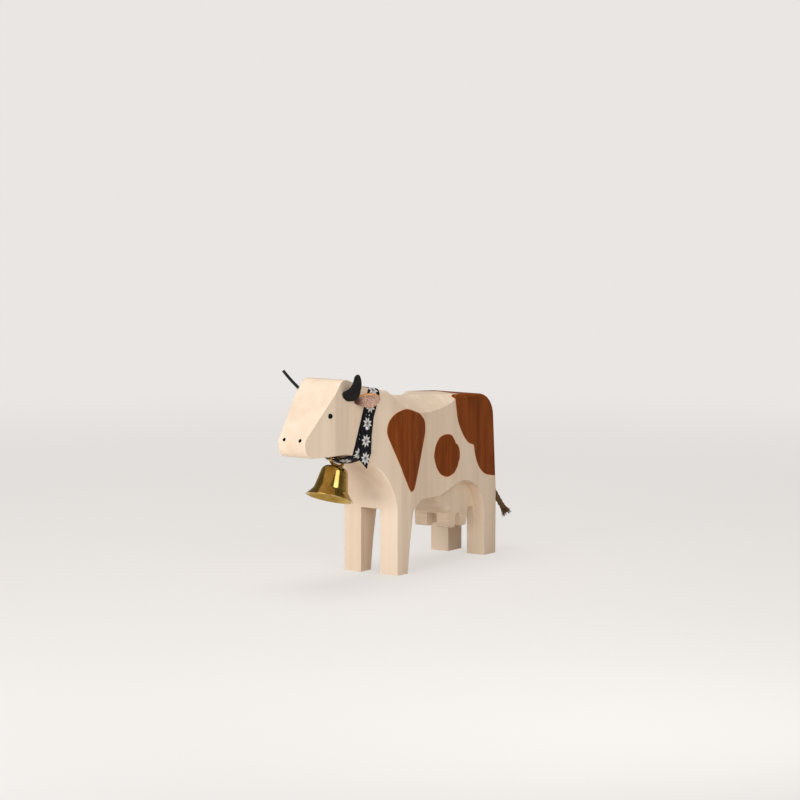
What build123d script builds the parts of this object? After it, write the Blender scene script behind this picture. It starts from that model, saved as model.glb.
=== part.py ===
from build123d import *
import math
import os

# A standing cow carved from one block of lime wood, 190 mm from nose to rump, with leather horns
# and ears, pin eyes, a woven ribbon collar, a brass bell with its clapper, and a rope tail.
# The cow faces minus X, its left flank is minus Y, and its four feet stand on z = 0.

# Block, sawn to the side outline and then to the plan outline
body_length = 190.0
body_width = 40.0
poll_height = 121.0
nose_width = 19.0
cheek_width = 28.0
throat_width = 27.0
neck_width = 31.8
waist_depth = 2.0
sanded_round = 3.5
chest_round = 1.0
cheek_shave = 2.2

# Side outline, each point a share of the length from the nose and a share of the poll height
hind_heel_share = (0.999, 0.0)
hock_share = (1.0, 0.335)
rump_share = (0.978, 0.831)
hip_share = (0.763, 0.8545)
loin_share = (0.553, 0.868)
withers_share = (0.374, 0.927)
nape_share = (0.268, 0.955)
poll_share = (0.195, 1.0)
forehead_share = (0.162, 1.0)
face_foot_share = (0.0, 0.728)
chin_share = (0.0, 0.640)
jaw_share = (0.200, 0.6375)
throat_shares = [(0.2680, 0.5987), (0.2805, 0.583)]
chest_centre_share = (0.228, 0.2975)
rump_top_round = 15.0
back_round = 60.0
poll_round = 14.0
forehead_round = 6.0
face_foot_round = 6.0
chin_round = 8.0

# Plan outline of one side, each point a share of the length from the nose
cheek_end_share = 0.126
throat_share = 0.200
neck_end_share = 0.311
shoulder_share = 0.437
waist_shares = [0.505, 0.616, 0.727]
waist_round = 120.0
waist_edge_round = 60.0

# Space under the belly, the same shares as the side outline
foreleg_back_shares = [(0.4716, 0.0), (0.484, 0.149), (0.504, 0.310), (0.551, 0.355)]
knee_pit_round = 6.0
brisket_round = 12.0
udder_front_shares = [(0.666, 0.355), (0.765, 0.241)]
front_teat_shares = [(0.768, 0.165), (0.798, 0.165)]
teat_notch_shares = [(0.804, 0.236), (0.826, 0.236)]
rear_teat_shares = [(0.831, 0.165), (0.865, 0.165)]
udder_back_shares = [(0.876, 0.254), (0.907, 0.254), (0.918, 0.182)]
hind_front_share = (0.9195, 0.0)
arch_shares = [
    (0.720, 0.386), (0.760, 0.405), (0.801, 0.410), (0.843, 0.395), (0.884, 0.356), (0.905, 0.308),
    (0.916, 0.252), (0.919, 0.190),
]
teat_notch_round = 1.8
teat_foot_round = 1.2

# Legs, udder and saddle
leg_gap = 14.0
foreleg_slot_top = 39.5
hind_slot_top = 39.5
hind_slot_share = 0.890
udder_width = 25.4
udder_corner_round = 4.0
teat_gap = 7.0
teat_gap_top = 28.5
saddle_radius = 70.0
saddle_share = 0.600
saddle_depth = 10.6
saddle_tilt = 28.0

# Eyes and nostrils
eye_share = (0.1040, 0.836)
eye_diameter = 3.1
eye_height = 1.5
pin_shank_diameter = 1.2
eye_shank_length = 6.0
nostril_spacing = 11.3
nostril_height_share = 0.729
nostril_diameter = 1.9
nostril_depth = 0.8

# Horns, flat leather pressed into slits, outlined in shares of their width and length
horn_share = (0.1737, 0.919)
horn_thickness = 1.7
horn_length = 19.8
horn_width = 9.0
horn_root_width = 4.6
horn_root_depth = 7.0
horn_foot_round = 1.8
horn_bend_radius = 90.0
horn_lean = (-0.2706, -0.6542, 0.7063)
horn_across = (0.8206, -0.5403, -0.1860)
horn_outline_shares = [
    (0.42, -0.12), (0.80, -0.02), (0.88, 0.17), (0.75, 0.44), (0.57, 0.69), (0.33, 0.89), (0.10, 1.0),
    (-0.05, 0.89), (0.02, 0.74), (0.07, 0.50), (0.02, 0.33), (-0.17, 0.19), (-0.22, 0.04), (0.05, -0.09),
]
horn_root_share = -0.14

# Ears, cupped leather leaves, outlined in shares of their half width and length
ear_share = (0.2263, 0.894)
ear_thickness = 1.3
ear_length = 15.5
ear_width = 7.8
ear_cup_radius = 6.5
ear_root_depth = 4.0
ear_lean = (0.327, -0.905, 0.271)
ear_facing = (-0.945, -0.313, 0.094)
ear_outline_shares = [(0.36, 0.0), (0.74, 0.24), (1.0, 0.56), (0.78, 0.86), (0.0, 1.0)]

# Collar, a woven ribbon round the neck, its hanging end and its nail
ribbon_width = 10.0
ribbon_thickness = 0.7
collar_tilt = 20.0
collar_share = (0.2947, 0.848)
sag_half_width = 11.0
end_top_share = 0.777
end_outline_shares = [(0.2442, 0.612), (0.2745, 0.556), (0.2975, 0.630)]
nail_share = (0.2763, 0.7545)
nail_head_diameter = 2.6
nail_head_height = 0.8
nail_length = 10.0

# Bell, turned in brass, its loop, staple and clapper
bell_height = 19.5
bell_shoulder_radius = 7.5
bell_waist_radius = 10.1
bell_rim_radius = 14.3
bell_waist_depth = 13.5
bell_shoulder_round = 4.6
bell_waist_round = 11.0
bell_wall = 0.9
loop_wire = 1.8
loop_gap = 1.6
loop_round = 1.1
loop_sink = 0.3
loop_foot_width = 6.8
loop_leg = 3.2
staple_wire = 1.2
staple_width = 4.4
staple_drop = 3.2
staple_round = 1.0
clapper_eye_wire = 1.0
clapper_rod_diameter = 1.2
clapper_length = 11.5
clapper_ball_diameter = 5.6

# Tail, a twisted rope, its route chosen by hand from the bottom of its hole to its frayed end
tail_diameter = 3.8
tail_route = [
    (86.6, 0.0, 87.2), (96.3, 0.0, 83.3), (101.5, -0.4, 73.8), (103.6, -1.6, 63.0), (104.8, -3.4, 52.5),
    (106.2, -6.2, 42.5), (108.8, -9.8, 33.5), (112.6, -13.0, 25.4),
]
tuft_length = 6.0
tuft_diameter = 7.2

# Fits, and the overrun of every cut
glue_gap = 0.1
running_gap = 0.08
ribbon_gap = 0.3
overrun = 5.0


tilt = math.radians(collar_tilt)
collar_down = Vector(-math.sin(tilt), 0, -math.cos(tilt))
collar_across = Vector(math.cos(tilt), 0, -math.sin(tilt))


def at(share):
    """A point of the side outline as X and Z."""
    return ((share[0] - 0.5) * body_length, share[1] * poll_height)


def along(share):
    """A place along the length as X."""
    return (share - 0.5) * body_length


def side_point(share):
    """A point of the side outline on the middle plane."""
    x, z = at(share)
    return Vector(x, 0, z)


def corner(face, point, radius):
    """The face with its vertex nearest to the point rounded."""
    return fillet(face.vertices().sort_by_distance(point)[0], radius)


def outline_face(points, rounds=()):
    """A closed outline in the X and Z plane, with some of its corners rounded."""
    face = make_face(Polyline(*points, close=True).edges())
    for point, radius in rounds:
        face = corner(face, Vector(*point), radius)
    return Plane.XZ * face


def both_sides(piece):
    """A piece of the left side together with its mirror image."""
    return piece + mirror(piece, about=Plane.XZ)


def side_core(inset):
    """The side outline of the block drawn in by the radius of its sanded edges."""
    centre, throat = side_point(chest_centre_share), side_point(throat_shares[-1])
    radius = (throat - centre).length
    turn = math.degrees(math.atan2(throat.Z - centre.Z, throat.X - centre.X))
    chest = CenterArc((centre.X, centre.Z), radius, 0, turn)
    heel = at(hind_heel_share)
    below = -body_width
    shares = [
        hind_heel_share, hock_share, rump_share, hip_share, loin_share, withers_share, nape_share, poll_share,
        forehead_share, face_foot_share, chin_share, jaw_share, *throat_shares,
    ]
    front = centre.X + radius
    rest = Polyline((front, centre.Z), (front, below), (heel[0], below), *[at(share) for share in shares])
    face = offset(make_face([*chest.edges(), *rest.edges()]), -inset, kind=Kind.INTERSECTION)
    rounds = [
        (rump_share, rump_top_round - inset), (hip_share, back_round - inset), (loin_share, back_round + inset),
        (withers_share, back_round - inset), (nape_share, back_round + inset), (poll_share, poll_round - inset),
        (forehead_share, forehead_round - inset), (face_foot_share, face_foot_round - inset),
        (chin_share, chin_round - inset),
    ]
    for share, radius in rounds:
        face = corner(face, Vector(*at(share)), radius)
    return Plane.XZ * face


def plan_points():
    """The corners of the plan outline on the left side."""
    flank = -body_width / 2
    return [
        Vector(along(0), -nose_width / 2), Vector(along(cheek_end_share), -cheek_width / 2),
        Vector(along(throat_share), -throat_width / 2), Vector(along(neck_end_share), -neck_width / 2),
        Vector(along(shoulder_share), flank), Vector(along(waist_shares[0]), flank),
        Vector(along(waist_shares[1]), flank + waist_depth), Vector(along(waist_shares[2]), flank),
        Vector(along(1), flank),
    ]


def plan_core(inset):
    """The plan outline drawn in by the radius of the sanded edges."""
    left = plan_points()
    right = [Vector(point.X, -point.Y) for point in reversed(left)]
    face = make_face(Polyline(*left, *right, close=True).edges())
    if inset:
        face = offset(face, -inset, kind=Kind.INTERSECTION)
    waist = left[5:8]
    radii = [waist_edge_round - inset, waist_round + inset, waist_edge_round - inset]
    for point, radius in zip(waist, radii):
        face = corner(face, point, radius)
        face = corner(face, Vector(point.X, -point.Y), radius)
    return face


def block(inset, grow=0):
    """The block after both saw cuts, its edges sanded to the inset, or grown for a wrap."""
    side = extrude(side_core(inset), body_width, both=True)
    plan = extrude(plan_core(inset), body_length, both=True)
    return offset(side & plan, inset + grow, kind=Kind.ARC)


def ahead(end):
    """The space in front of a place on the collar's width."""
    collar = Plane(origin=side_point(collar_share), x_dir=collar_across, z_dir=-collar_down)
    return collar * Pos(end - body_length / 2, 0, 0) * Box(body_length, body_length, body_length * 2)


def head():
    """The head, its cheeks shaved flat after sanding, so that their outline stays crisp."""
    side = extrude(side_core(sanded_round), body_width, both=True)
    wide = extrude(plan_core(sanded_round - cheek_shave), body_length, both=True)
    sanded = offset(side & wide & ahead(0), sanded_round, kind=Kind.ARC)
    return sanded & extrude(plan_core(0), body_length, both=True) & ahead(-ribbon_width / 2)


def below_belly():
    """The space under the belly, cut through the whole width round the teats."""
    floor = -overrun
    shares = [
        *foreleg_back_shares, *udder_front_shares, *front_teat_shares, *teat_notch_shares, *rear_teat_shares,
        *udder_back_shares, hind_front_share,
    ]
    points = [at(share) for share in shares]
    points += [(at(hind_front_share)[0], floor), (at(foreleg_back_shares[0])[0], floor)]
    rounds = [(at(foreleg_back_shares[2]), knee_pit_round), (at(foreleg_back_shares[3]), brisket_round)]
    rounds += [(at(share), teat_foot_round) for share in [*front_teat_shares, *rear_teat_shares]]
    rounds += [(at(share), teat_notch_round) for share in [*teat_notch_shares, *udder_back_shares[:2]]]
    return extrude(outline_face(points, rounds), body_width, both=True)


def arch_face():
    """The arch over the udder in the X and Z plane, open down to below the floor."""
    start, end = at(udder_front_shares[0]), at(hind_front_share)
    curve = Spline([start, *[at(share) for share in arch_shares]])
    rest = Polyline(at(arch_shares[-1]), end, (end[0], -overrun), (start[0], -overrun), start)
    return Plane.XZ * make_face([*curve.edges(), *rest.edges()])


def arch():
    """The arched recess on the left of the udder."""
    return Pos(0, -udder_width / 2, 0) * extrude(arch_face(), body_width)


def udder_corner():
    """The waste that rounds the left edge of the udder's slanted front."""
    top, low = side_point(udder_front_shares[0]), side_point(udder_front_shares[1])
    radius, run = udder_corner_round, low - top
    slope = Plane(origin=top + Vector(0, -udder_width / 2, 0), x_dir=(0, 1, 0), z_dir=run)
    square = Pos(radius / 2, radius / 2) * Rectangle(radius, radius)
    waste = slope * extrude(square - Pos(radius, radius) * Circle(radius), run.length)
    recess = Pos(0, -udder_width / 2, 0) * extrude(arch_face(), -radius)
    return waste & recess


def slot(start, end, width, top):
    """A sawn slot between two legs or teats."""
    length = end - start
    height = top + overrun
    return Pos(start + length / 2, 0, top - height / 2) * Box(length, width, height)


def saddle():
    """The scooped cut on the left of the spine, made with a drum sander held at a slant."""
    slant = math.radians(saddle_tilt)
    low = Vector(along(saddle_share), -body_width / 2, at(loin_share)[1] - saddle_depth)
    out = Vector(0, -math.sin(slant), math.cos(slant))
    axis = Vector(0, math.cos(slant), math.sin(slant))
    drum = Plane(origin=low + out * saddle_radius, z_dir=axis)
    return drum * Cylinder(saddle_radius, body_length)


def flank_plane(x, z):
    """A plane on the left side of the head or neck at X and Z, facing outwards."""
    points = plan_points()
    near, far = next((a, b) for a, b in zip(points, points[1:]) if a.X <= x < b.X)
    share = (x - near.X) / (far.X - near.X)
    run = far - near
    return Plane(origin=(x, near.Y + share * run.Y, z), x_dir=(run.X, run.Y, 0), z_dir=(run.Y, -run.X, 0))


def carve():
    """The carved wooden block."""
    below_throat = Pos(-body_length, 0, 0) * Box(body_length * 2, body_length, at(throat_shares[-1])[1] * 2)
    solid = block(sanded_round) - ahead(-ribbon_width / 2) + (block(chest_round) & below_throat) + head()
    solid -= Pos(0, 0, -body_length) * Box(body_length * 2, body_length, body_length * 2)
    solid -= below_belly()
    solid -= both_sides(arch())
    solid -= both_sides(udder_corner())
    solid -= slot(along(0), at(foreleg_back_shares[3])[0], leg_gap, foreleg_slot_top)
    solid -= slot(along(hind_slot_share), along(1) + overrun, leg_gap, hind_slot_top)
    solid -= slot(at(foreleg_back_shares[3])[0], along(hind_slot_share) + overrun, teat_gap, teat_gap_top)
    solid -= both_sides(saddle())
    return solid


def pin(head_diameter, head_height, length):
    """A pin with a domed head, driven in along minus Z up to its head."""
    dome_radius = (head_diameter ** 2 / 4 + head_height ** 2) / (2 * head_height)
    dome = Pos(0, 0, head_height - dome_radius) * Sphere(dome_radius)
    head = dome & Pos(0, 0, head_height) * Box(head_diameter * 2, head_diameter * 2, head_height * 2)
    return head + Pos(0, 0, -length / 2) * Cylinder(pin_shank_diameter / 2, length)


def nostrils():
    """Two shallow drilled dots on the front of the muzzle."""
    hole = Plane(origin=(along(0), -nostril_spacing / 2, nostril_height_share * poll_height), z_dir=(-1, 0, 0))
    return both_sides(hole * Cylinder(nostril_diameter / 2, nostril_depth * 2))


def horn():
    """The left horn, a flat strip bent a little upwards, with its root for the slit in the head."""
    seat = flank_plane(*at(horn_share))
    across, lean = Vector(*horn_across), Vector(*horn_lean)
    half_turn = math.degrees(math.asin(horn_length / 2 / horn_bend_radius))
    plane = Plane(origin=seat.origin, x_dir=across, z_dir=across.cross(lean)).rotated((half_turn, 0, 0))
    points = [(u * horn_width, v * horn_length) for u, v in horn_outline_shares]
    surface = Rot(0, 0, math.degrees(math.atan2(seat.z_dir.dot(lean), seat.z_dir.dot(across))))
    proud = surface * Pos(horn_length + glue_gap, 0) * Rectangle(horn_length * 2, horn_length * 4)
    blade = make_face(Spline(points, periodic=True).edges()) & proud
    foot = blade.vertices().sort_by_distance(Vector(0, 0))[:2]
    blade = fillet(foot, horn_foot_round)
    reach = horn_root_depth + horn_foot_round
    root = Pos(horn_foot_round - reach / 2, horn_root_share * horn_width) * Rectangle(reach, horn_root_width)
    blank = extrude(blade + surface * root, horn_length, both=True)
    tube = Rot(0, 90, 0) * (
        Cylinder(horn_bend_radius + horn_thickness / 2, horn_length * 2)
        - Cylinder(horn_bend_radius - horn_thickness / 2, horn_length * 2)
    )
    near = Pos(0, 0, -horn_bend_radius) * tube
    upper = Box(horn_length * 4, horn_length * 4, horn_length)
    return plane * (blank & near & upper)


def ear():
    """The left ear, a cupped leaf open to the front, with its root for the slit in the head."""
    seat = flank_plane(*at(ear_share))
    lean, facing = Vector(*ear_lean), Vector(*ear_facing)
    plane = Plane(origin=seat.origin, x_dir=lean.cross(facing), z_dir=facing)
    half = ear_width / 2
    right = [(u * half, v * ear_length) for u, v in ear_outline_shares]
    left = [(-u, v) for u, v in reversed(right[:-1])]
    leaf = make_face([*Spline([*right, *left]).edges(), *Line(left[-1], right[0]).edges()])
    root_width = 2 * ear_outline_shares[0][0] * half
    root = Pos(0, -ear_root_depth / 2) * Rectangle(root_width, ear_root_depth)
    blank = extrude(leaf + root, ear_cup_radius)
    cup = Cylinder(ear_cup_radius, ear_length * 3) - Cylinder(ear_cup_radius - ear_thickness, ear_length * 3)
    return plane * (blank & Pos(0, 0, ear_cup_radius) * (Rot(90, 0, 0) * cup))


def throat_seat():
    """The point of the throat, on the middle plane, under which the middle of the ribbon passes."""
    start, end, centre = side_point(jaw_share), side_point(throat_shares[0]), side_point(collar_share)
    facet = end - start
    reach = centre - start
    square = facet.X * collar_down.Z - facet.Z * collar_down.X
    return start + facet * ((reach.X * collar_down.Z - reach.Z * collar_down.X) / square)


def ribbon():
    """The collar: a loop that lies on the neck, sags at the throat for the bell, and ends in a cut tail."""
    slab = Plane(origin=side_point(collar_share), x_dir=collar_across, z_dir=-collar_down)
    slab = slab * Box(ribbon_width, body_length, body_length)
    sag = loop_wire + 2 * ribbon_gap
    radius = (sag_half_width ** 2 + sag ** 2) / (2 * sag)
    seat = Plane(origin=throat_seat(), x_dir=collar_across, z_dir=-collar_down)
    trough = seat * (Pos(0, 0, radius - sag) * Rot(0, 90, 0) * Cylinder(radius, body_length))
    under = seat * (Pos(0, 0, radius - sag) * Rot(0, 90, 0) * Cylinder(radius + ribbon_thickness, body_length))
    room = seat * Box(body_length, 2 * sag_half_width + 2 * ribbon_thickness, 2 * (sag + ribbon_thickness))
    neck = block(sanded_round)
    loop = block(sanded_round, ribbon_thickness) + (under & room)
    loop = (loop & slab) - neck - (trough & room)
    outer, inner = plan_core(-2 * ribbon_thickness), plan_core(-ribbon_thickness)
    shell = extrude(outer, poll_height) - extrude(inner, poll_height)
    top = end_top_share * poll_height
    lean = math.tan(tilt) * (side_point(collar_share).Z - top)
    middle = side_point(collar_share).X - lean
    half = ribbon_width / math.cos(tilt) / 2
    points = [(middle - half, top), *[at(share) for share in end_outline_shares], (middle + half, top)]
    strip = Pos(0, -body_width / 2, 0) * extrude(outline_face(points), body_width / 2, both=True)
    return loop + (strip & shell)


def nail():
    """The nail that holds both ends of the ribbon to the neck."""
    seat = flank_plane(*at(nail_share)).offset(2 * ribbon_thickness)
    return seat * pin(nail_head_diameter, nail_head_height, nail_length)


bar_drop = ribbon_gap + loop_wire / 2
bell_pivot = throat_seat() + collar_down * bar_drop
bell_plane = Plane(origin=bell_pivot, x_dir=collar_across, z_dir=-collar_down)
foot_drop = loop_wire + ribbon_gap + ribbon_thickness + loop_gap
crown_drop = foot_drop + loop_wire / 2 - loop_sink
staple_drop_total = crown_drop + bell_wall + staple_drop


def bell_loop():
    """The wire loop whose top bar lies between the ribbon and the throat."""
    half = ribbon_width / 2 + ribbon_gap + loop_wire / 2
    foot = loop_foot_width / 2
    right = [(half, 0, 0), (half, 0, -loop_leg), (foot, 0, -foot_drop)]
    left = [(-x, y, z) for x, y, z in reversed(right)]
    path = FilletPolyline(*right, *left, radius=loop_round, close=True)
    start = Plane(origin=path @ 0, z_dir=path % 0)
    return sweep(start * Circle(loop_wire / 2), path=path)


def bell_form(wall):
    """The inside of the bell, or with no wall its outside."""
    top, rim = -crown_drop - wall, -crown_drop - bell_height
    shoulder = (bell_shoulder_radius - wall, top)
    waist = (bell_waist_radius - wall, -crown_drop - bell_waist_depth)
    rounds = [(shoulder, bell_shoulder_round - wall), (waist, bell_waist_round + wall)]
    points = [(0, top), shoulder, waist, (bell_rim_radius - wall, rim), (0, rim)]
    return revolve(outline_face(points, rounds), Axis.Z)


def staple():
    """The wire staple under the crown that carries the clapper."""
    half = staple_width / 2
    top = -crown_drop - bell_wall / 2
    points = [(0, -half, top), (0, -half, -staple_drop_total), (0, half, -staple_drop_total), (0, half, top)]
    path = FilletPolyline(*points, radius=staple_round)
    start = Plane(origin=path @ 0, z_dir=path % 0)
    return sweep(start * Circle(staple_wire / 2), path=path)


def clapper():
    """The clapper, hanging plumb from the staple by its eye."""
    eye_radius = staple_wire / 2 + running_gap + clapper_eye_wire / 2
    half = clapper_eye_wire / 2
    ring = Cylinder(eye_radius + half, clapper_eye_wire) - Cylinder(eye_radius - half, clapper_eye_wire)
    eye = Rot(90, 0, 0) * ring
    rod_length = clapper_length - eye_radius
    rod = Pos(0, 0, -eye_radius - rod_length / 2) * Cylinder(clapper_rod_diameter / 2, rod_length)
    ball = Pos(0, 0, -clapper_length) * Sphere(clapper_ball_diameter / 2)
    return Pos(*(bell_pivot + collar_down * staple_drop_total)) * (eye + rod + ball)


def tail_radii():
    """The radius of each bend of the tail, as large as its two runs allow."""
    points = [Vector(*point) for point in tail_route]
    radii = []
    for before, here, after in zip(points, points[1:], points[2:]):
        arrive, leave = here - before, after - here
        turn = math.radians(arrive.get_angle(leave))
        radii.append(0.45 * min(arrive.length, leave.length) / math.tan(turn / 2))
    return radii


def tail():
    """The rope tail with its frayed end."""
    path = FilletPolyline(*tail_route, radius=tail_radii())
    section = Plane(origin=path @ 0, z_dir=path % 0) * Circle(tail_diameter / 2)
    rope = sweep(section, path=path)
    print("tail bends", [round(radius, 1) for radius in tail_radii()], "length", round(path.length, 1))
    print("tail volume", round(rope.volume, 1), "section times length", round(section.area * path.length, 1))
    end = Plane(origin=path @ 1, z_dir=path % 1)
    tuft = end * Pos(0, 0, tuft_length / 2) * Cone(tail_diameter / 2, tuft_diameter / 2, tuft_length)
    return rope + tuft


def tail_hole():
    """The drilled hole in the rump that holds the tail."""
    start, end = Vector(*tail_route[0]), Vector(*tail_route[1])
    run = end - start
    depth = run.length + overrun
    return Plane(origin=start, z_dir=run) * Pos(0, 0, depth / 2) * Cylinder(tail_diameter / 2 + glue_gap, depth)


os.makedirs("parts", exist_ok=True)
left_horn, left_ear, left_nail, cow_tail = horn(), ear(), nail(), tail()
left_eye = flank_plane(*at(eye_share)) * pin(eye_diameter, eye_height, eye_shank_length)
collar = ribbon() - left_nail
body = carve() - nostrils() - tail_hole() - left_nail
body -= both_sides(left_horn)
body -= both_sides(left_ear)
body -= both_sides(left_eye)
bell = bell_plane * (bell_form(0) - bell_form(bell_wall))
hanger = bell_plane * bell_loop() - bell
clapper_staple = bell_plane * staple() - bell

nodes = {
    "body": body,
    "horn_left": left_horn,
    "horn_right": mirror(left_horn, about=Plane.XZ),
    "ear_left": left_ear,
    "ear_right": mirror(left_ear, about=Plane.XZ),
    "eye_left": left_eye,
    "eye_right": mirror(left_eye, about=Plane.XZ),
    "collar_ribbon": collar,
    "collar_nail": left_nail,
    "bell": bell,
    "bell_loop": hanger,
    "clapper_staple": clapper_staple,
    "clapper": clapper(),
    "tail_rope": cow_tail,
}
for name, solid in nodes.items():
    export_step(solid, f"parts/{name}.step")
print("bell pivot", [round(value, 2) for value in bell_pivot])
print("clapper pivot", [round(value, 2) for value in bell_pivot + collar_down * staple_drop_total])
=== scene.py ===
import math
import random
from bisect import bisect_right
from itertools import accumulate
import bmesh
import bpy
from mathutils import Matrix, Vector
from mathutils.bvhtree import BVHTree
from mathutils.geometry import interpolate_bezier

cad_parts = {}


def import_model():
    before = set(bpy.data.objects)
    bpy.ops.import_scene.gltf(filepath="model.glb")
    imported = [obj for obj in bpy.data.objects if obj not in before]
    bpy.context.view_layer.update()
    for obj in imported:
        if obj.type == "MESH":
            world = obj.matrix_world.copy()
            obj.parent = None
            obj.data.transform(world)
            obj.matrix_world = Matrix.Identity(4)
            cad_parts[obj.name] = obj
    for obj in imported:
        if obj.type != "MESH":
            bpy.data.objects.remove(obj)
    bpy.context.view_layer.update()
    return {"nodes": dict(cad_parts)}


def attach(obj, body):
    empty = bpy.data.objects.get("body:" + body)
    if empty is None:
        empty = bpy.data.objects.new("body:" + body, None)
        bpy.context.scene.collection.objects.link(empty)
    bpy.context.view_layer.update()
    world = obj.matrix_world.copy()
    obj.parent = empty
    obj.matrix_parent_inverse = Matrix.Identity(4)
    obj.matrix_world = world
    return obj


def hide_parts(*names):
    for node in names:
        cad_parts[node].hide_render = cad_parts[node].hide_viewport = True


# The looks of a carved wooden cow that faces minus X, with its left flank on minus Y and its feet on z = 0.
# Shapes are drawn in millimetres and piece() scales them to metres; mm and metre turn one into the other.

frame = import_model()
mm = 0.001
metre = 1000.0
shades = random.Random(7)


# Shader maths

def tree_of(name):
    """A new material and a helper that adds nodes to it."""
    material = bpy.data.materials.new(name)
    material.use_nodes = True
    material.node_tree.nodes.clear()
    return material, Nodes(material.node_tree)


class Value:
    """A socket that can be used in an expression."""

    def __init__(self, nodes, socket):
        self.nodes = nodes
        self.socket = socket

    def math(self, operation, *others):
        return self.nodes.add("ShaderNodeMath", [self, *others], operation=operation)

    def __add__(self, other):
        return self.math("ADD", other)

    def __sub__(self, other):
        return self.math("SUBTRACT", other)

    def __rsub__(self, other):
        return self.nodes.add("ShaderNodeMath", [other, self], operation="SUBTRACT")

    def __mul__(self, other):
        return self.math("MULTIPLY", other)

    def __truediv__(self, other):
        return self.math("DIVIDE", other)

    def least(self, other):
        return self.math("MINIMUM", other)

    def most(self, other):
        return self.math("MAXIMUM", other)

    def soft_most(self, other, width):
        return self.math("SMOOTH_MAX", other, width)

    def absolute(self):
        return self.math("ABSOLUTE")

    def power(self, exponent):
        return self.math("POWER", exponent)

    def sine(self):
        return self.math("SINE")

    def step(self, low, high, start=0.0, end=1.0):
        """A smooth step from one level to another."""
        settings = {"interpolation_type": "SMOOTHSTEP"}
        return self.nodes.add("ShaderNodeMapRange", [self, low, high, start, end], **settings)

    def ramp(self, low, high, start=0.0, end=1.0):
        """A straight change from one level to another."""
        return self.nodes.add("ShaderNodeMapRange", [self, low, high, start, end])


class Nodes:
    """The nodes of one material."""

    def __init__(self, tree):
        self.tree = tree

    def add(self, kind, inputs=(), output=0, **settings):
        """A node with its settings, then the values or links of its sockets, and one of its outputs."""
        node = self.tree.nodes.new(kind)
        for name, value in settings.items():
            setattr(node, name, value)
        pairs = inputs.items() if isinstance(inputs, dict) else enumerate(inputs)
        for key, value in pairs:
            socket = node.inputs[key]
            if isinstance(value, Value):
                self.tree.links.new(value.socket, socket)
            else:
                socket.default_value = value
        return Value(self, node.outputs[output])

    def place(self):
        """Object coordinates, in metres."""
        return self.add("ShaderNodeTexCoord", output="Object")

    def axes(self, vector):
        """The three numbers of a vector."""
        split = self.add("ShaderNodeSeparateXYZ", [vector]).socket.node
        return [Value(self, output) for output in split.outputs]

    def vector(self, x, y, z):
        return self.add("ShaderNodeCombineXYZ", [x, y, z])

    def stretched(self, vector, scale):
        return self.add("ShaderNodeMapping", {"Vector": vector, "Scale": scale})

    def noise(self, vector, scale, detail=3.0, roughness=0.5, distortion=0.0):
        inputs = {"Vector": vector, "Scale": scale, "Detail": detail, "Roughness": roughness}
        return self.add("ShaderNodeTexNoise", {**inputs, "Distortion": distortion}, output="Fac")

    def pores(self, vector, scale):
        """Rounded cells, like the pores of leather."""
        return self.add("ShaderNodeTexVoronoi", {"Vector": vector, "Scale": scale}, feature="SMOOTH_F1")

    def mix(self, factor, first, second):
        """Two colours mixed."""
        return self.add("ShaderNodeMix", {0: factor, 6: first, 7: second}, output=2, data_type="RGBA")

    def bump(self, height, strength, distance):
        return self.add("ShaderNodeBump", {"Height": height, "Strength": strength, "Distance": distance})

    def rays(self, *kinds):
        """1 for rays of these kinds and 0 for all others."""
        paths = self.add("ShaderNodeLightPath").socket.node
        found, *others = [Value(self, paths.outputs[f"Is {kind} Ray"]) for kind in kinds]
        for other in others:
            found = found.most(other)
        return found

    def finish(self, **sockets):
        """The shader, with its sockets given in small letters, and the output."""
        named = {name.replace("_", " ").title().replace("Ior", "IOR"): sockets[name] for name in sockets}
        self.add_output(self.add("ShaderNodeBsdfPrincipled", named))

    def add_output(self, shader):
        node = self.tree.nodes.new("ShaderNodeOutputMaterial")
        self.tree.links.new(shader.socket, node.inputs["Surface"])


def colour(red, green, blue):
    """A colour given in screen values from 0 to 255."""
    def linear(value):
        """The share of full light that a screen value stands for."""
        share = value / 255
        return share / 12.92 if share <= 0.04045 else ((share + 0.055) / 1.055) ** 2.4
    return (linear(red), linear(green), linear(blue), 1.0)


def convex(nodes, across, up, points, softness):
    """The distance outside a convex outline, given clockwise or counter-clockwise, with softened corners."""
    middle = sum((Vector(point) for point in points), Vector((0, 0))) / len(points)
    distance = None
    for start, end in zip(points, points[1:] + points[:1]):
        run = Vector(end) - Vector(start)
        outward = Vector((run.y, -run.x)).normalized()
        if outward.dot(Vector(start) - middle) < 0:
            outward = -outward
        side = across * outward.x + up * outward.y - outward.dot(Vector(start))
        distance = side if distance is None else distance.soft_most(side, softness)
    return distance


# Lime wood, with its stained patches

# Side outlines are (x, z) and outlines seen from above are (x, y)

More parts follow.
